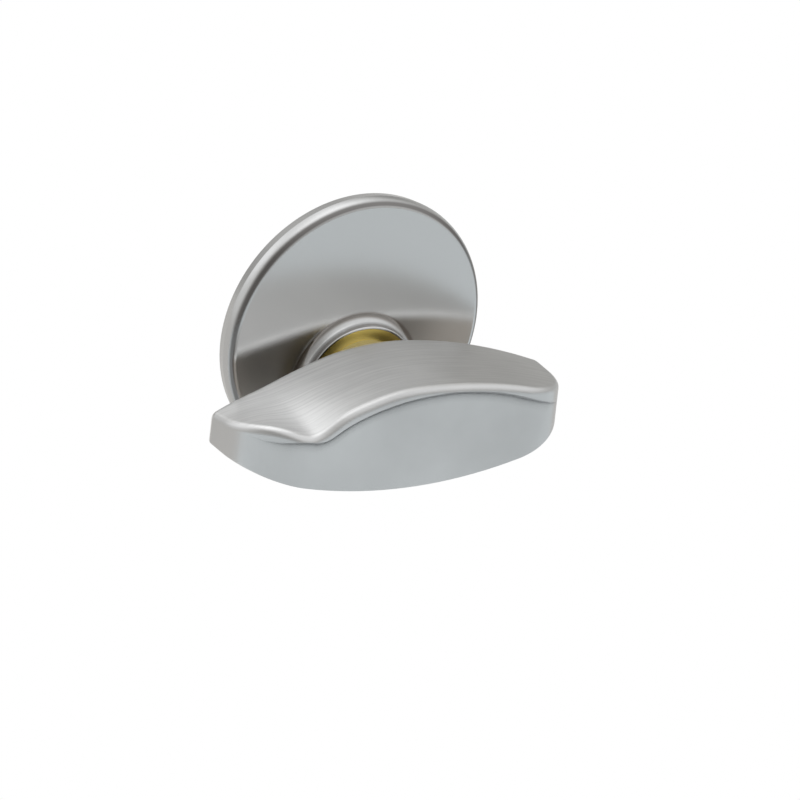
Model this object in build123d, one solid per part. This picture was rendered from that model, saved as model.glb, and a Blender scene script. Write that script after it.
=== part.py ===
"""Thumb turn mortise cylinder: a threaded lock cylinder that is worked by a thumb turn instead of a key.

Frame: X to the right and Z up, as someone facing the turn sees them, and -Y out of the head towards that person.
The origin is on the axis of the barrel, in the plane of the head's back face, which seats against the lock.
All lengths are millimetres, all angles are degrees.
"""

from build123d import *
import math
import os

# Head, which flares a little towards its rounded front edge
head_radius = 17.7
head_back_radius = 17.46
face_thickness = 3.1
head_edge_width = 1.0
head_edge_depth = 1.6
head_back_chamfer = 0.25

# Barrel behind the head
barrel_radius = 14.6
barrel_length = 25.5
barrel_chamfer = 0.8
set_groove_width = 4.0
set_groove_depth = 1.6

# Plug, its bore below the barrel's axis, and the boss round its flange
plug_offset = 6.35
plug_radius = 6.35
plug_clearance = 0.05
flange_radius = 7.45
flange_thickness = 1.4
boss_radius = 7.75
boss_height = 1.65
boss_fillet = 1.1
boss_edge = 0.08

# Drag pin in its chamber over the plug
chamber_radius = 1.5
chamber_place = 9.0
pin_radius = 1.4
pin_length = 5.4
pin_groove_width = 3.4
pin_groove_depth = 0.6
pin_tip_clearance = 0.3
spring_radius = 1.05
spring_wire = 0.25
spring_turns = 5.5
spring_play = 0.05
cap_radius = 1.9
cap_thickness = 1.5
cap_sink = 0.35

# Thumb turn: an oval bar, measured out from the head's face
turn_length = 46.0
turn_middle = -0.75
turn_height = 13.4
turn_end_height = 4.8
turn_front = 17.6
turn_back_middle = 3.15
turn_back_end = 6.0
turn_front_corner = 8.1
turn_back_corner = 1.2
turn_edge = 0.95
turn_lower_edge = 0.5
turn_rest_angle = 3.5
neck_radius = 6.0
tenon_width = 6.2
tenon_length = 9.0
tenon_edge = 0.6
socket_clearance = 0.05

# Recessed front panel of the turn, and how much the bead's underside rises for its depth
panel_depth = 0.33
panel_fade = 0.2
bead_lean = 1.2

# Sculpted lines of the turn, in parts of half its length and half its height, on planes in parts of its depth
scoop_stations = (-1.22, -1.02, -0.835, -0.67, -0.505, -0.335, -0.157)
scoop_back = (-0.09, 0.15, 0.39, 0.55, 0.69, 0.84, 0.95)
scoop_middle = (0.18, 0.328, 0.418, 0.448, 0.642, 0.821, 0.955)
scoop_front = (0.746, 0.642, 0.522, 0.246, 0.597, 0.843, 0.978)
scoop_planes = (0.057, 0.597, 1.108)
crown_stations = (0.05, 0.25, 0.45, 0.65, 0.85, 1.15)

# Cross pin through plug and tenon
cross_pin_radius = 1.2
cross_pin_place = 2.0
cross_pin_recess = 0.3
cross_pin_edge = 0.2
cross_pin_clearance = 0.05

# Cam and its screws
cam_gap = 0.15
cam_thickness = 2.4
cam_hub_radius = 7.5
cam_reach = 19.0
cam_tip_radius = 3.4
cam_edge = 0.3
cam_hole_radius = 1.6
cam_screw_spread = 4.2
cam_screw_radius = 1.55
cam_screw_depth = 7.0
cam_screw_head_radius = 2.4
cam_screw_head_height = 1.4
cam_screw_slot_width = 0.7
cam_screw_slot_depth = 0.7
cam_screw_clearance = 0.1

face_y = -face_thickness
boss_y = face_y - boss_height
plug_end_y = barrel_length + cam_gap
cam_back_y = plug_end_y + cam_thickness
hub_axis = Pos(0, 0, -plug_offset)
rotor_place = hub_axis * Rot(0, turn_rest_angle, 0)


def disc(radius, start, end):
    """Solid cylinder along Y between two stations."""
    return extrude(Plane.XZ.offset(-end) * Circle(radius), end - start)


def out(protrusion):
    """Station of a point that stands out from the head's face."""
    return face_y - protrusion


def head():
    """Head turned as one piece: back face, flared side wall, full rounded edge and flat front."""
    middle = (head_radius - head_edge_width, head_edge_depth - face_thickness)
    with BuildPart() as part:
        with BuildSketch(Plane.XY):
            with BuildLine():
                EllipticalCenterArc(middle, head_edge_width, head_edge_depth, start_angle=270, arc_size=90)
                Polyline(
                    (middle[0], face_y),
                    (0, face_y),
                    (0, 0),
                    (head_back_radius - head_back_chamfer, 0),
                    (head_back_radius, -head_back_chamfer),
                    (head_radius, middle[1]),
                )
            make_face()
        revolve(axis=Axis.Y)
    return part.part


def boss():
    """Raised ring round the plug's flange, blended into the face by a hollow fillet."""
    foot = boss_radius + boss_fillet
    with BuildPart() as part:
        with BuildSketch(Plane.XY):
            with BuildLine():
                Polyline((0, face_y), (foot, face_y))
                RadiusArc((foot, face_y), (boss_radius, face_y - boss_fillet), -boss_fillet)
                Polyline(
                    (boss_radius, face_y - boss_fillet),
                    (boss_radius, boss_y + boss_edge),
                    (boss_radius - boss_edge, boss_y),
                    (0, boss_y),
                    (0, face_y),
                )
            make_face()
        revolve(axis=Axis.Y)
    return hub_axis * part.part


def cylinder_housing():
    """Head, boss and barrel in one casting, bored for the plug and the drag pin."""
    barrel = disc(barrel_radius, 0, barrel_length)
    barrel = chamfer(barrel.edges().filter_by(GeomType.CIRCLE).sort_by(Axis.Y)[-1], barrel_chamfer)
    for side in (-1, 1):
        groove = Box(2 * set_groove_depth, barrel_length, set_groove_width)
        groove = fillet(groove.edges().filter_by(Axis.Y), 0.45 * set_groove_width * 0.5)
        barrel -= Pos(side * barrel_radius, barrel_length / 2, 0) * groove
    body = head() + boss() + barrel
    body -= hub_axis * disc(plug_radius + plug_clearance, boss_y, barrel_length)
    body -= hub_axis * disc(flange_radius + plug_clearance, boss_y, boss_y + flange_thickness + plug_clearance)
    chamber = Pos(0, chamber_place, -plug_offset) * extrude(Circle(chamber_radius), barrel_radius + plug_offset)
    cap_seat = Pos(0, chamber_place, barrel_radius - cap_sink - cap_thickness) * extrude(
        Circle(cap_radius), cap_thickness + cap_sink
    )
    return body - chamber - cap_seat


def plug():
    """Brass plug: front flange, shaft with the drag groove, square socket and tapped cam end."""
    body = disc(flange_radius, boss_y, boss_y + flange_thickness)
    body += disc(plug_radius, boss_y, plug_end_y)
    ring = disc(plug_radius + 1, chamber_place - pin_groove_width / 2, chamber_place + pin_groove_width / 2)
    ring -= disc(plug_radius - pin_groove_depth, chamber_place - pin_groove_width, chamber_place + pin_groove_width)
    body -= ring
    socket = Box(
        tenon_width + 2 * socket_clearance,
        tenon_length + socket_clearance,
        tenon_width + 2 * socket_clearance,
        align=(Align.CENTER, Align.MIN, Align.CENTER),
    )
    body -= Pos(0, boss_y, 0) * socket
    body -= cross_bore(plug_radius + 1)
    for side in (-1, 1):
        hole = disc(cam_screw_radius, plug_end_y - cam_screw_depth, plug_end_y)
        body -= Pos(side * cam_screw_spread, 0, 0) * hole
    return rotor_place * body


def cross_bore(half_length, radius=cross_pin_radius):
    """Cylinder along X where the cross pin runs."""
    bore = extrude(Plane.YZ.offset(-half_length) * Circle(radius), 2 * half_length)
    return Pos(0, cross_pin_place, 0) * bore


def turn_pin():
    """Plain cross pin, kept in by the housing's bore."""
    pin = cross_bore(plug_radius - cross_pin_recess)
    return rotor_place * chamfer(pin.edges().filter_by(GeomType.CIRCLE), cross_pin_edge)


def friction_pin():
    """Drag pin that presses into the plug's groove."""
    tip = plug_radius - pin_groove_depth + pin_tip_clearance - plug_offset
    pin = Pos(0, chamber_place, tip) * extrude(Circle(pin_radius), pin_length)
    return chamfer(pin.edges().filter_by(GeomType.CIRCLE), cross_pin_edge)


def friction_spring():
    """Coil spring between the drag pin and the cap."""
    low = plug_radius - pin_groove_depth + pin_tip_clearance - plug_offset + pin_length + spring_play + spring_wire
    high = barrel_radius - cap_sink - cap_thickness - spring_play - spring_wire
    with BuildPart() as spring:
        with BuildLine():
            path = Helix((high - low) / spring_turns, high - low, spring_radius)
        with BuildSketch(Plane(path @ 0, z_dir=path % 0)):
            Circle(spring_wire)
        sweep(path=path, is_frenet=True)
    return Pos(0, chamber_place, low) * spring.part


def chamber_cap():
    """Plug of metal that closes the drag pin's chamber."""
    seat = barrel_radius - cap_sink - cap_thickness
    return Pos(0, chamber_place, seat) * extrude(Circle(cap_radius), cap_thickness)


def crown(x):
    """Height of the turn's shallow upper arc above the plug's axis."""
    half = turn_length / 2
    rise = turn_height / 2
    sag = rise - turn_end_height / 2
    radius = (half**2 + sag**2) / (2 * sag)
    return rise - radius + math.sqrt(radius**2 - (x - turn_middle) ** 2)


def turn_plan(stretch=0.0):
    """The turn seen from above: bowed back, straight ends, broad rounded front corners."""
    half = turn_length / 2 + stretch
    with BuildSketch(Plane.XY) as plan:
        with BuildLine():
            ThreePointArc(
                (-half, out(turn_back_end)),
                (0, out(turn_back_middle)),
                (half, out(turn_back_end)),
            )
            Polyline(
                (half, out(turn_back_end)),
                (half, out(turn_front)),
                (-half, out(turn_front)),
                (-half, out(turn_back_end)),
            )
        make_face()
        front = plan.vertices().sort_by(Axis.Y)[:2]
        fillet(front, turn_front_corner)
        back = plan.vertices().sort_by(Axis.Y)[-2:]
        fillet(back, turn_back_corner)
    return Pos(turn_middle, 0, 0) * plan.sketch


def plan_block(stretch=0.0):
    """Tall block over the turn's plan."""
    return Pos(0, 0, -turn_height) * extrude(turn_plan(stretch), 2 * turn_height)


def turn_underside():
    """Everything above the turn's lower arc, which is drawn on past the ends of the bar."""
    reach = turn_length / 2 + 2.0
    low = crown(turn_middle + reach)
    with BuildSketch(Plane.XZ) as front:
        with BuildLine():
            Line((-reach, 2 * turn_height), (reach, 2 * turn_height))
            Line((reach, 2 * turn_height), (reach, -low))
            ThreePointArc((reach, -low), (0, -turn_height / 2), (-reach, -low))
            Line((-reach, -low), (-reach, 2 * turn_height))
        make_face()
    return extrude(Pos(turn_middle, 0, 0) * front.sketch, -2 * out(turn_front), both=True)


def thumb_scoop():
    """Everything above the flank: the thumb scoop on the left runs on into the crown on the right."""
    half = turn_length / 2
    rise = turn_height / 2
    sections = []
    for depth, heights in zip(scoop_planes, (scoop_back, scoop_middle, scoop_front)):
        line = [(half * place, rise * height) for place, height in zip(scoop_stations, heights)]
        line += [(half * place, crown(half * place)) for place in crown_stations]
        with BuildSketch(Plane.XZ.offset(-out(depth * turn_front))) as section:
            with BuildLine():
                Spline(line)
                Polyline(line[-1], (line[-1][0], 2 * turn_height), (line[0][0], 2 * turn_height), line[0])
            make_face()
        sections.append(section.sketch.faces()[0])
    return loft(sections)


def bar():
    """The turn's blank: its plan between the flank and the lower arc, with the edges rounded."""
    blank = (plan_block() & turn_underside()) - thumb_scoop()
    blank = fillet(blank.faces().sort_by(Axis.Z)[-1].edges(), turn_edge)
    return fillet(blank.faces().sort_by(Axis.Z)[0].edges(), turn_lower_edge)


def corner_fall(x):
    """How far the panel has fallen back behind its front at a station on its rounded corners."""
    over = abs(x - turn_middle) - (turn_length / 2 + panel_fade - turn_front_corner)
    limit = 0.9 * turn_front_corner
    near = min(max(over, 0), limit)
    fall = turn_front_corner - math.sqrt(turn_front_corner**2 - near**2)
    return fall + max(over - limit, 0) * limit / math.sqrt(turn_front_corner**2 - limit**2)


def panel_region():
    """Front view of the recessed panel: all that lies under the S-shaped bead."""
    half = turn_length / 2
    rise = turn_height / 2
    line = [
        (-1.2, 0.36),
        (-1.07, 0.3),
        (-1.0, 0.267),
        (-0.95, 0.235),
        (-0.9, 0.211),
        (-0.84, 0.199),
        (-0.75, 0.195),
        (-0.68, 0.168),
        (-0.64, 0.14),
        (-0.6, 0.148),
        (-0.565, 0.19),
        (-0.5, 0.32),
        (-0.42, 0.455),
        (-0.307, 0.59),
        (-0.187, 0.69),
        (-0.065, 0.757),
        (0.055, 0.785),
        (0.18, 0.785),
        (0.302, 0.742),
        (0.428, 0.668),
        (0.554, 0.555),
        (0.687, 0.396),
        (0.765, 0.292),
        (0.84, 0.18),
        (0.9, 0.087),
        (0.96, -0.006),
        (1.15, -0.3),
    ]
    line = [(half * x, rise * z + bead_lean * corner_fall(half * x)) for x, z in line]
    with BuildSketch(Plane.XZ.offset(-out(turn_front) - panel_depth)) as region:
        with BuildLine():
            Spline(line)
            Polyline(line[-1], (line[-1][0], -2 * turn_height), (line[0][0], -2 * turn_height), line[0])
        make_face()
    return region.sketch


def panel_cut():
    """What is cut away in front of the panel: its upper wall leans out and forms the bead's underside."""
    back = turn_front_corner
    forward = Vector(0, -1, bead_lean)
    region = Pos(0, back, -bead_lean * back) * panel_region()
    cut = extrude(region, (back + turn_edge) * forward.length, dir=forward)
    return cut - Pos(0, panel_depth, 0) * plan_block(panel_fade)


def thumb_turn():
    """Cast turn: the bar with its scoop and panel, the neck and the square tenon."""
    blank = bar() - panel_cut()
    blank += disc(neck_radius, out(turn_back_end), boss_y)
    tenon = Box(tenon_width, tenon_length, tenon_width, align=(Align.CENTER, Align.MIN, Align.CENTER))
    tenon = chamfer(tenon.faces().sort_by(Axis.Y)[-1].edges(), tenon_edge)
    blank += Pos(0, boss_y, 0) * tenon
    return blank - cross_bore(tenon_width, cross_pin_radius + cross_pin_clearance)


def cam():
    """Flat cam: a round hub drawn out to a rounded tip, screwed to the plug's end."""
    tip = cam_reach - cam_tip_radius
    lean = math.asin((cam_hub_radius - cam_tip_radius) / tip)
    level = math.sin(lean)
    width = math.cos(lean)
    with BuildSketch(Plane.XZ.offset(-cam_back_y)) as plate:
        Circle(cam_hub_radius)
        with Locations((0, tip)):
            Circle(cam_tip_radius)
        with BuildLine():
            Polyline(
                (-cam_hub_radius * width, cam_hub_radius * level),
                (cam_hub_radius * width, cam_hub_radius * level),
                (cam_tip_radius * width, tip + cam_tip_radius * level),
                (-cam_tip_radius * width, tip + cam_tip_radius * level),
                close=True,
            )
        make_face()
        Circle(cam_hole_radius, mode=Mode.SUBTRACT)
        with Locations((-cam_screw_spread, 0), (cam_screw_spread, 0)):
            Circle(cam_screw_radius + cam_screw_clearance, mode=Mode.SUBTRACT)
    body = extrude(plate.sketch, cam_thickness)
    rims = body.faces().sort_by(Axis.Y)[-1].outer_wire().edges()
    return rotor_place * chamfer(rims, cam_edge)


def cam_screw(side):
    """Slotted pan head screw that holds the cam."""
    tip_y = plug_end_y - cam_screw_depth + cam_screw_clearance
    screw = disc(cam_screw_radius, tip_y, cam_back_y)
    head_part = disc(cam_screw_head_radius, cam_back_y, cam_back_y + cam_screw_head_height)
    rim = head_part.edges().filter_by(GeomType.CIRCLE).sort_by(Axis.Y)[-1]
    head_part = fillet(rim, 0.4 * cam_screw_head_height)
    slot = Box(2 * cam_screw_head_radius + 1, 2 * cam_screw_slot_depth, cam_screw_slot_width)
    screw += head_part
    screw -= Pos(0, cam_back_y + cam_screw_head_height, 0) * Rot(0, 20 * side, 0) * slot
    return rotor_place * Pos(side * cam_screw_spread, 0, 0) * screw


def main():
    """Build every piece and write one STEP file for each."""
    os.makedirs("parts", exist_ok=True)
    parts = {
        "cylinder_housing": cylinder_housing(),
        "plug": plug(),
        "thumb_turn": rotor_place * thumb_turn(),
        "turn_pin": turn_pin(),
        "friction_pin": friction_pin(),
        "friction_spring": friction_spring(),
        "chamber_cap": chamber_cap(),
        "cam": cam(),
        "cam_screw_left": cam_screw(-1),
        "cam_screw_right": cam_screw(1),
    }
    for name, shape in parts.items():
        export_step(shape, f"parts/{name}.step")
        print(name, round(shape.volume, 2))


main()
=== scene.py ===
"""Looks of the thumb turn mortise cylinder: satin nickel head and turn, bare brass plug, steel small parts."""

import math

import bmesh
import bpy
from mathutils import Matrix, Vector
from mathutils.bvhtree import BVHTree
from mathutils.geometry import barycentric_transform


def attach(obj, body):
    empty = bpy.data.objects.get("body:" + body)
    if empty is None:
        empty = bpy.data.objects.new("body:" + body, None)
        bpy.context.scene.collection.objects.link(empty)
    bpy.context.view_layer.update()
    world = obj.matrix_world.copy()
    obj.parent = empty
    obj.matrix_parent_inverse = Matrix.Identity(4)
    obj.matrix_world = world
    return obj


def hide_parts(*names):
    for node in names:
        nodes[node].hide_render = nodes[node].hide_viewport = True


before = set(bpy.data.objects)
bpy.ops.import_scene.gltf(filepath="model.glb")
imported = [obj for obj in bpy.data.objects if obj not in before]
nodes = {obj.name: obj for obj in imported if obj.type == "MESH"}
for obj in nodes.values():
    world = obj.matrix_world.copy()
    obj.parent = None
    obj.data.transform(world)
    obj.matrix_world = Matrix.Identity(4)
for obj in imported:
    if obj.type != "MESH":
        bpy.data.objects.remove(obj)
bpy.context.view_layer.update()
link = bpy.context.scene.collection.objects.link

MM = 0.001
ALONG_BARREL = Vector((0, 1, 0))

# Camera of the photograph: parallel view from the front, from the left and above
VIEW_RIGHT = Vector((0.8720, -0.4869, 0.0500))
VIEW_UP = Vector((0.1779, 0.4105, 0.8943))
VIEW_BACK = VIEW_RIGHT.cross(VIEW_UP).normalized()
FRAME_SIDE = 97.92 * MM
FRAME_MIDDLE = Vector((0, -2.6, 0)) * MM + VIEW_RIGHT * 5.704 * MM - VIEW_UP * 8.446 * MM
CAMERA_DISTANCE = 0.6

# Stage: the floor, the board that the head seats on, the tent round them, and a card low behind the head
FLOOR_DROP = 0.10
FLOOR_HALF = 0.8
BOARD_HALF = 0.20
BOARD_TOP = 0.062
BOARD_Y = 0.05 * MM
BOARD_GAP = 1.5 * MM
TENT_RADIUS = 0.9
CARD_DROP = 0.055
CARD_X = (-0.8, 0.25)
CARD_Y = (0.012, 0.7)

# Lamp behind and above, which makes the shadow on the floor
KEY_PLACE = (-0.20, 0.30, 0.50)
KEY_SIDE = 0.30
KEY_POWER = 1.5

# Light of the tent: a level, and spots by direction, cosine at their rim and middle, and light added
TENT_LEVEL = 0.55
TENT_SPOTS = (
    ((-0.14, 0.555, 0.820), 0.57, 0.95, 0.50),  # bright behind and above
    ((0.46, -0.30, 0.836), 0.35, 0.96, 0.50),  # bright in front, right and above
    ((-0.80, 0.45, 0.35), 0.75, 1.0, 0.30),  # fair on the left
    ((-0.30, -0.86, 0.41), 0.50, 1.0, -0.15),  # dim in front
    ((0.62, 0.50, 0.60), 0.84, 1.0, -0.24),  # dim behind on the right
    ((-0.02, 0.95, 0.31), 0.86, 1.0, -0.30),  # dim behind, lower down
)

# Painted dark lines on the head: a painted dark reflection where its face turns into its edge, and painted
# shade round the boss's foot, which is centred on the plug's axis. Each has its radius, its fade to nothing,
# and the y it stays in front of.
PLUG_DROP = 6.35 * MM
EDGE_RADIUS = 17.2 * MM
EDGE_FADE = (0.1 * MM, 0.36 * MM)
EDGE_FRONT = -2.3 * MM
FOOT_RADIUS = 8.65 * MM
FOOT_FADE = (0.15 * MM, 0.55 * MM)
FOOT_FRONT = -2.9 * MM

# Finish: reach of the painted crease shade, bump depth, the turn's brush marks, and the painted light on its
# brushed faces, lighter at the left and darker to the right in x
CREASE_REACH = 1.3 * MM
BUMP_DEPTH = 0.1 * MM
STREAK_SCALE = (70, 3200, 40)
STREAK_TURN = (0, math.radians(-3.5), 0)
# Painted light on the turn's brushed faces: the x span over which it goes from the lighter tone to the darker,
# and the two tones
PAINTED_LIGHT_STATIONS = (-22 * MM, 8 * MM)
PAINTED_LIGHT_TONES = ((1.34, 1.34, 1.34, 1), (0.90, 0.895, 0.88, 1))

# Thread of the barrel, 32 turns an inch, right handed
BARREL_RADIUS = 14.6 * MM
THREAD_PITCH = 25.4 / 32 * MM
THREAD_DEPTH = 0.43 * MM
THREAD_START = 0.9 * MM
THREAD_END = 26.6 * MM
THREAD_STEPS = 72
THREAD_MOUTH = 0.36 * MM
THREAD_ROOT = 0.07 * MM
THREAD_OVERCUT = 0.05 * MM


class Nodes:
    """Small helper that adds shader nodes to a material or a world and links them."""

    def __init__(self, owner):
        owner.use_nodes = True
        self.tree = owner.node_tree
        self.tree.nodes.clear()

    def feed(self, socket, value):
        if isinstance(value, bpy.types.NodeSocket):
            self.tree.links.new(value, socket)
        else:
            socket.default_value = value

    def add(self, kind, inputs=None, **settings):
        node = self.tree.nodes.new(kind)
        for key, value in settings.items():
            setattr(node, key, value)
        for key, value in (inputs or {}).items():
            self.feed(node.inputs[key], value)
        return node

    def math(self, operation, a, b=0.0):
        return self.add("ShaderNodeMath", {0: a, 1: b}, operation=operation).outputs[0]

    def times(self, a, b):
        return self.math("MULTIPLY", a, b)

    def total(self, first, *others):
        for other in others:
            first = self.math("ADD", first, other)
        return first

    def split(self, vector):
        return self.add("ShaderNodeSeparateXYZ", {0: vector}).outputs

    def ramp(self, factor, stops):
        """Colour between two stops."""
        node = self.add("ShaderNodeValToRGB", {"Fac": factor})
        for element, (place, color) in zip(node.color_ramp.elements, stops):
            element.position = place
            element.color = (*color, 1)
        return node.outputs["Color"]

    def remap(self, value, from_low, from_high, to_low, to_high, kind="SMOOTHSTEP"):
        inputs = {0: value, 1: from_low, 2: from_high, 3: to_low, 4: to_high}
        return self.add("ShaderNodeMapRange", inputs, interpolation_type=kind).outputs[0]

    def noise(self, vector, scale, detail, roughness=0.5):
        inputs = {"Vector": vector, "Scale": scale, "Detail": detail, "Roughness": roughness}
        return self.add("ShaderNodeTexNoise", inputs).outputs["Fac"]

    def mix(self, factor, a, b, blend="MIX"):
        node = self.add("ShaderNodeMix", data_type="RGBA", blend_type=blend)
        for key, value in ((0, factor), (6, a), (7, b)):
            self.feed(node.inputs[key], value)
        return node.outputs[2]

    def tinted(self, factor, color, tint):
        """Colour multiplied by a tint, as far as the factor says."""
        return self.mix(factor, color, self.mix(1.0, color, tint, "MULTIPLY"))

    def seen(self):
        """One for rays that come from the camera or from a mirroring or clear surface, else zero."""
        rays = self.add("ShaderNodeLightPath").outputs
        bounced = self.math("MAXIMUM", rays["Is Glossy Ray"], rays["Is Transmission Ray"])
        return self.math("MAXIMUM", rays["Is Camera Ray"], bounced)

    def surface(self, kind, inputs):
        """Closes a material with its last shader."""
        shader = self.add(kind, inputs).outputs[0]
        self.add("ShaderNodeOutputMaterial", {"Surface": shader})


def new_material(name):
    """New material and the helper that fills it."""
    material = bpy.data.materials.new(name)
    return material, Nodes(material)


def turn_masks(n):
    """Where the turn is brushed, its back, its front, where the painted crease shade reaches further, and the
    edges round its back, which get a painted highlight, by way of facing.
    """
    _, along, up = n.split(n.add("ShaderNodeTexCoord").outputs["Normal"])
    brushed = n.remap(n.math("ABSOLUTE", up), 0.68, 0.95, 0.04, 1.0)
    rear = n.remap(along, 0.6, 0.95, 0.0, 1.0)
    fore = n.remap(along, -0.9, -0.5, 1.0, 0.0)
    # The edges round the back, where a highlight is painted
    rim = n.times(n.remap(along, 0.10, 0.30, 0.0, 1.0), n.remap(along, 0.80, 0.95, 1.0, 0.0))
    return brushed, rear, fore, rim


def painted_crease_shade(n, depth, fore):
    """Painted shade: how far creases are darkened, found by ambient occlusion. On faces that the fore mask
    marks, the painted shade reaches further out of the creases.
    """
    inputs = {"Distance": CREASE_REACH}
    open_sky = n.add("ShaderNodeAmbientOcclusion", inputs, samples=8, only_local=True).outputs["AO"]
    dark = n.remap(open_sky, 0.62, 0.97, depth, 0.0, "LINEAR")
    if fore is None:
        return dark
    wider = n.remap(open_sky, 0.86, 1.0, depth, 0.0, "LINEAR")
    return n.math("MAXIMUM", dark, n.times(fore, wider))


def painted_head_lines(n, place, color):
    """The head's colour with its two painted dark lines: a painted dark reflection where its face turns into
    its edge, and painted shade round the boss's foot.
    """
    x, y, z = n.split(place)
    below = n.math("ADD", z, PLUG_DROP)
    # First a painted dark reflection at the edge, then painted shade at the boss's foot
    for height, radius, fade, front, depth, dark in (
        (z, EDGE_RADIUS, EDGE_FADE, EDGE_FRONT, 0.85, (0.13, 0.12, 0.115, 1)),
        (below, FOOT_RADIUS, FOOT_FADE, FOOT_FRONT, 0.65, (0.20, 0.17, 0.145, 1)),
    ):
        away = n.math("SQRT", n.math("ADD", n.math("POWER", x, 2.0), n.math("POWER", height, 2.0)))
        off = n.math("ABSOLUTE", n.math("SUBTRACT", away, radius))
        line = n.times(n.remap(off, *fade, depth, 0.0), n.math("LESS_THAN", y, front))
        color = n.mix(line, color, dark)
    return color


def metal(name, light, dark, rough, crease, part=None):
    """Metal with drifting tone, fine grain and painted shade in its creases.

    The head has its two painted dark lines besides. The turn has brush marks drawn out along it, on the faces
    that look up or down, painted light there that is lighter at its left end and darker towards its right, a
    rougher and warmer back, and a painted highlight on the edges round that back.
    """
    material, n = new_material(name)
    place = n.add("ShaderNodeTexCoord").outputs["Object"]
    drift = n.noise(place, 60.0, 4.0)
    grain = marks = n.noise(place, 9000.0, 2.0)
    fore, mark_bump = None, 0.05
    if part == "turn":
        brushed, rear, fore, rim = turn_masks(n)
        inputs = {"Vector": place, "Scale": STREAK_SCALE, "Rotation": STREAK_TURN}
        streaks = n.noise(n.add("ShaderNodeMapping", inputs).outputs[0], 1.0, 5.0, 0.65)
        marks = n.math("ADD", n.times(n.math("SUBTRACT", streaks, 0.5), brushed), 0.5)
        mark_bump = 0.12

    tone = n.total(n.times(drift, 0.45), n.times(marks, 0.55))
    color = n.ramp(tone, [(0.25, dark), (0.75, light)])
    # Painted shade: creases darkened towards near black, by ambient occlusion
    color = n.mix(painted_crease_shade(n, crease, fore), color, (0.10, 0.10, 0.105, 1))
    wear = n.total(n.times(marks, 0.6), n.times(drift, 0.4))
    roughness = n.remap(wear, 0.2, 0.8, rough * 0.88, rough * 1.12, "LINEAR")
    if part == "head":
        # Painted dark reflection at the head's edge and painted shade round the boss's foot
        color = painted_head_lines(n, place, color)
    if part == "turn":
        # Painted light: the brushed faces lighter towards the turn's left end and darker towards its right
        across = n.remap(n.split(place)[0], *PAINTED_LIGHT_STATIONS, 0.0, 1.0)
        color = n.tinted(brushed, color, n.mix(across, *PAINTED_LIGHT_TONES))
        color = n.tinted(rear, color, (1.07, 1.0, 0.925, 1))
        # Painted highlight: near-white colour on the edges round the turn's back
        color = n.mix(rim, color, (0.93, 0.93, 0.925, 1))
        roughness = n.total(roughness, n.times(brushed, 0.12), n.times(rear, 0.22), n.times(rim, -0.10))

    height = n.total(n.times(marks, mark_bump), n.times(grain, 0.01))
    inputs = {"Strength": 1.0, "Distance": BUMP_DEPTH, "Height": height}
    bump = n.add("ShaderNodeBump", inputs).outputs[0]
    inputs = {"Base Color": color, "Metallic": 1.0, "Roughness": roughness, "Normal": bump}
    n.surface("ShaderNodeBsdfPrincipled", inputs)
    return material


def give(node, material):
    """Finishes a node of the frame, which keeps its mesh."""
    thing = nodes[node]
    thing.data.materials.clear()
    thing.data.materials.append(material)
    for slot in thing.material_slots:
        slot.material = material


def mesh_piece(name, points, faces):
    """New object from corners and faces."""
    mesh = bpy.data.meshes.new(name)
    mesh.from_pydata(points, [], faces)
    thing = bpy.data.objects.new(name, mesh)
    link(thing)
    return thing


def tidy_mesh(mesh, weld=0.0):
    """Welds a mesh and turns its faces outward."""
    work = bmesh.new()
    work.from_mesh(mesh)
    if weld:
        bmesh.ops.remove_doubles(work, verts=work.verts, dist=weld)
    bmesh.ops.recalc_face_normals(work, faces=work.faces)
    work.to_mesh(mesh)
    work.free()


def thread_cutter():
    """Helical wedge whose cut leaves the barrel's thread, shallow at its start."""
    rim = BARREL_RADIUS + THREAD_OVERCUT
    points, faces = [], []
    count = int((THREAD_END - THREAD_START) / THREAD_PITCH * THREAD_STEPS)
    for i in range(count + 1):
        a = 2 * math.pi * i / THREAD_STEPS
        y = THREAD_START + THREAD_PITCH * i / THREAD_STEPS
        root = BARREL_RADIUS - THREAD_DEPTH * min(1.0, 0.1 + i / THREAD_STEPS)
        wedge = ((rim, -THREAD_MOUTH), (root, -THREAD_ROOT), (root, THREAD_ROOT), (rim, THREAD_MOUTH))
        for radius, along in wedge:
            points.append((radius * math.cos(a), y + along, -radius * math.sin(a)))
    for i in range(count):
        for j in range(4):
            k = (j + 1) % 4
            faces.append((4 * i + j, 4 * i + k, 4 * i + 4 + k, 4 * i + 4 + j))
    faces += [(3, 2, 1, 0), tuple(4 * count + j for j in range(4))]
    cutter = mesh_piece("thread_cutter", points, faces)
    tidy_mesh(cutter.data)
    return cutter


def off_axis(point):
    """A point's way out from the barrel's axis."""
    return Vector((point.x, 0, point.z))


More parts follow.
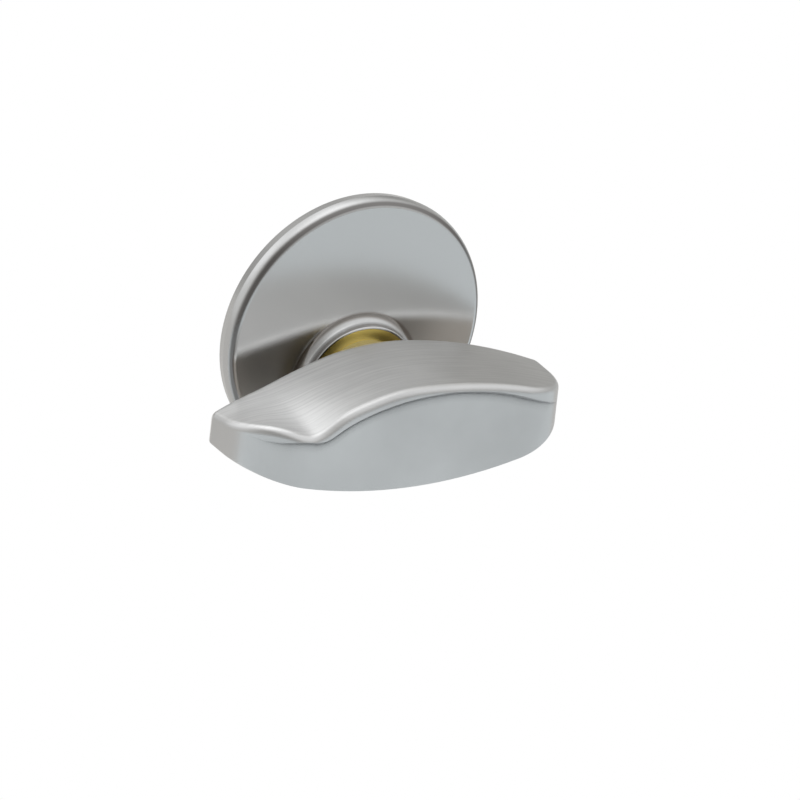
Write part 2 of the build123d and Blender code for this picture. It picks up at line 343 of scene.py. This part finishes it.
def turned_normals(mesh, source):
    """Normals of the cut housing: the CAD's own on its faces, and smooth round the axis on the thread."""
    corners = [tuple(source.vertices[v].co for v in face.vertices) for face in source.polygons]
    own = source.corner_normals
    shown = [tuple(own[i].vector.copy() for i in face.loop_indices) for face in source.polygons]
    faces = [face.vertices for face in source.polygons]
    tree = BVHTree.FromPolygons([v.co for v in source.vertices], faces)
    first, inside = THREAD_START - 0.4 * MM, BARREL_RADIUS - 1.2 * THREAD_DEPTH
    touching = 0.002 * MM
    normals = [None] * len(mesh.loops)
    for face in mesh.polygons:
        middle, flat = face.center, face.normal
        out = off_axis(middle).normalized()
        round_axis = abs(flat.dot(out.cross(ALONG_BARREL))) < 0.15
        threaded = round_axis and middle.y > first and off_axis(middle).length > inside
        _, way, near, distance = tree.find_nearest(middle)
        copied = distance < touching and way.dot(flat) > 0.98 and len(corners[near]) == 3
        for i in face.loop_indices:
            spot = mesh.vertices[mesh.loops[i].vertex_index].co
            if threaded:
                turned = off_axis(spot).normalized() * flat.dot(out) + ALONG_BARREL * flat.y
                normals[i] = turned.normalized()
            elif copied:
                normals[i] = barycentric_transform(spot, *corners[near], *shown[near]).normalized()
            else:
                normals[i] = flat
    mesh.shade_smooth()
    mesh.normals_split_custom_set(normals)


def threaded_housing(material):
    """The housing with its thread really cut, in place of the CAD node's plain barrel."""
    source = nodes["cylinder_housing"]
    body = bpy.data.objects.new("threaded_housing", source.data.copy())
    link(body)
    tidy_mesh(body.data, weld=1e-7)
    cutter = thread_cutter()
    cut = body.modifiers.new("thread", "BOOLEAN")
    cut.operation = "DIFFERENCE"
    cut.solver = "MANIFOLD"
    cut.object = cutter
    shaped = body.evaluated_get(bpy.context.evaluated_depsgraph_get())
    mesh = bpy.data.meshes.new_from_object(shaped)
    body.modifiers.clear()
    body.data = mesh
    bpy.data.objects.remove(cutter)
    turned_normals(mesh, source.data)
    mesh.materials.clear()
    mesh.materials.append(material)
    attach(body, "housing")
    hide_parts("cylinder_housing")


def finish_nodes():
    """Materials of the CAD nodes, and the threaded housing."""
    plate = metal("satin_nickel_plate", (0.63, 0.63, 0.63), (0.60, 0.60, 0.60), 0.19, 0.5, "head")
    turn = metal("satin_nickel_turn", (0.76, 0.76, 0.76), (0.47, 0.47, 0.47), 0.28, 0.97, "turn")
    brass = metal("bare_brass", (0.84, 0.66, 0.20), (0.64, 0.49, 0.13), 0.36, 0.4)
    steel = metal("zinc_steel", (0.60, 0.61, 0.62), (0.48, 0.49, 0.50), 0.32, 0.5)
    give("cylinder_housing", plate)
    threaded_housing(plate)
    give("thumb_turn", turn)
    for name in ("plug", "friction_pin", "chamber_cap"):
        give(name, brass)
    for name in ("turn_pin", "friction_spring", "cam", "cam_screw_left", "cam_screw_right"):
        give(name, steel)


def tent_cloth():
    """Glow of the tent, a little warmer where it is dim."""
    material, n = new_material("tent_cloth")
    place = n.add("ShaderNodeTexCoord").outputs["Object"]
    way = n.add("ShaderNodeVectorMath", {0: place}, operation="NORMALIZE").outputs[0]
    level = TENT_LEVEL
    for direction, rim, middle, added in TENT_SPOTS:
        toward = n.add("ShaderNodeVectorMath", {0: way, 1: direction}, operation="DOT_PRODUCT")
        spot = n.remap(toward.outputs["Value"], rim, middle, 0.0, added)
        level = n.math("ADD", level, spot)
    brightness = n.remap(level, 0.5, 1.0, 0.0, 1.0, "LINEAR")
    tint = n.ramp(brightness, [(0.0, (1.0, 0.992, 0.965)), (1.0, (0.993, 1.0, 1.0))])
    n.surface("ShaderNodeEmission", {"Color": tint, "Strength": level})
    return material


def tent():
    """Sphere of cloth round the stage, which lights the object and shows in its metal."""
    rows, columns = 24, 48
    points, faces = [], []
    for i in range(rows + 1):
        e = math.pi * (i / rows - 0.5)
        for j in range(columns):
            a = 2 * math.pi * j / columns
            way = (math.cos(e) * math.cos(a), math.cos(e) * math.sin(a), math.sin(e))
            points.append(tuple(TENT_RADIUS * v for v in way))
    for i in range(rows):
        low, high = i * columns, (i + 1) * columns
        for j in range(columns):
            k = (j + 1) % columns
            faces.append((low + j, low + k, high + k, high + j))
    thing = mesh_piece("tent", points, faces)
    thing.data.materials.append(tent_cloth())
    thing.visible_camera = False
    return thing


def low_card():
    """Grey card low down behind the head, which the head's side wall reflects."""
    (left, right), (near, far) = CARD_X, CARD_Y
    corners = ((left, near), (right, near), (right, far), (left, far))
    thing = mesh_piece("low_card", [(x, y, -CARD_DROP) for x, y in corners], [(0, 1, 2, 3)])
    material, n = new_material("card_paint")
    n.surface("ShaderNodeEmission", {"Color": (0.66, 0.65, 0.63, 1), "Strength": 1.0})
    thing.data.materials.append(material)
    thing.visible_camera = False
    thing.visible_diffuse = False
    thing.visible_shadow = False
    return thing


def board_paint():
    """White that is there only for rays that see or mirror the board's front."""
    material, n = new_material("backdrop_paint")
    white = n.add("ShaderNodeEmission", {"Color": (1, 1, 1, 1), "Strength": 1.0}).outputs[0]
    clear = n.add("ShaderNodeBsdfTransparent").outputs[0]
    behind = n.add("ShaderNodeNewGeometry").outputs["Backfacing"]
    shown = n.times(n.seen(), n.math("SUBTRACT", 1.0, behind))
    n.surface("ShaderNodeMixShader", {0: shown, 1: clear, 2: white})
    return material


def backdrop():
    """White board with a round hole for the barrel; from behind it isn't there, so the barrel shows."""
    count = 64
    hole = BARREL_RADIUS + BOARD_GAP
    angles = [2 * math.pi * i / count for i in range(count)]
    ways = [(math.cos(a), math.sin(a)) for a in angles]
    points = [(hole * x, BOARD_Y, hole * z) for x, z in ways]
    for x, z in ways:
        height = BOARD_TOP if z > 0 else FLOOR_DROP
        grow = min(BOARD_HALF / max(abs(x), 1e-6), height / max(abs(z), 1e-6))
        points.append((x * grow, BOARD_Y, z * grow))
    faces = [(i, count + i, count + (i + 1) % count, (i + 1) % count) for i in range(count)]
    thing = mesh_piece("backdrop", points, faces)
    thing.data.materials.append(board_paint())
    thing.visible_glossy = False
    thing.visible_diffuse = False
    thing.visible_shadow = False
    return thing


def floor():
    """Pale matt floor below the object."""
    corners = ((-1, -1), (1, -1), (1, 1), (-1, 1))
    points = [(FLOOR_HALF * x, FLOOR_HALF * y, -FLOOR_DROP) for x, y in corners]
    thing = mesh_piece("floor", points, [(0, 1, 2, 3)])
    material, n = new_material("floor_paint")
    n.surface("ShaderNodeBsdfDiffuse", {"Color": (0.72, 0.76, 0.78, 1)})
    thing.data.materials.append(material)
    return thing


def key_lamp():
    """Soft square lamp that points at the object and doesn't show in its metal."""
    data = bpy.data.lights.new("key_lamp", "AREA")
    data.shape = "RECTANGLE"
    data.size = data.size_y = KEY_SIDE
    data.energy = KEY_POWER
    lamp = bpy.data.objects.new("key_lamp", data)
    link(lamp)
    lamp.location = KEY_PLACE
    lamp.rotation_mode = "QUATERNION"
    lamp.rotation_quaternion = (-Vector(KEY_PLACE)).to_track_quat("-Z", "Y")
    lamp.visible_glossy = False


def studio():
    """World, stage and lamp."""
    world = bpy.data.worlds.new("studio")
    bpy.context.scene.world = world
    n = Nodes(world)
    strength = n.remap(n.seen(), 0.0, 1.0, 0.8, 1.0, "LINEAR")
    inputs = {"Color": (1, 1, 1, 1), "Strength": strength}
    white = n.add("ShaderNodeBackground", inputs).outputs[0]
    n.add("ShaderNodeOutputWorld", {"Surface": white})
    for thing in (tent(), low_card(), backdrop(), floor()):
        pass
    key_lamp()


def photo_camera():
    """Camera at the photograph's viewing angle."""
    data = bpy.data.cameras.new("photo_camera")
    data.type = "ORTHO"
    data.ortho_scale = FRAME_SIDE
    data.clip_start = 0.01
    data.clip_end = 10.0
    camera = bpy.data.objects.new("photo_camera", data)
    link(camera)
    axes = Matrix((VIEW_RIGHT, VIEW_UP, VIEW_BACK)).transposed().to_4x4()
    camera.matrix_world = Matrix.Translation(FRAME_MIDDLE + VIEW_BACK * CAMERA_DISTANCE) @ axes
    bpy.context.scene.camera = camera


photo_camera()
studio()
finish_nodes()
bpy.context.scene.view_settings.view_transform = "Standard"
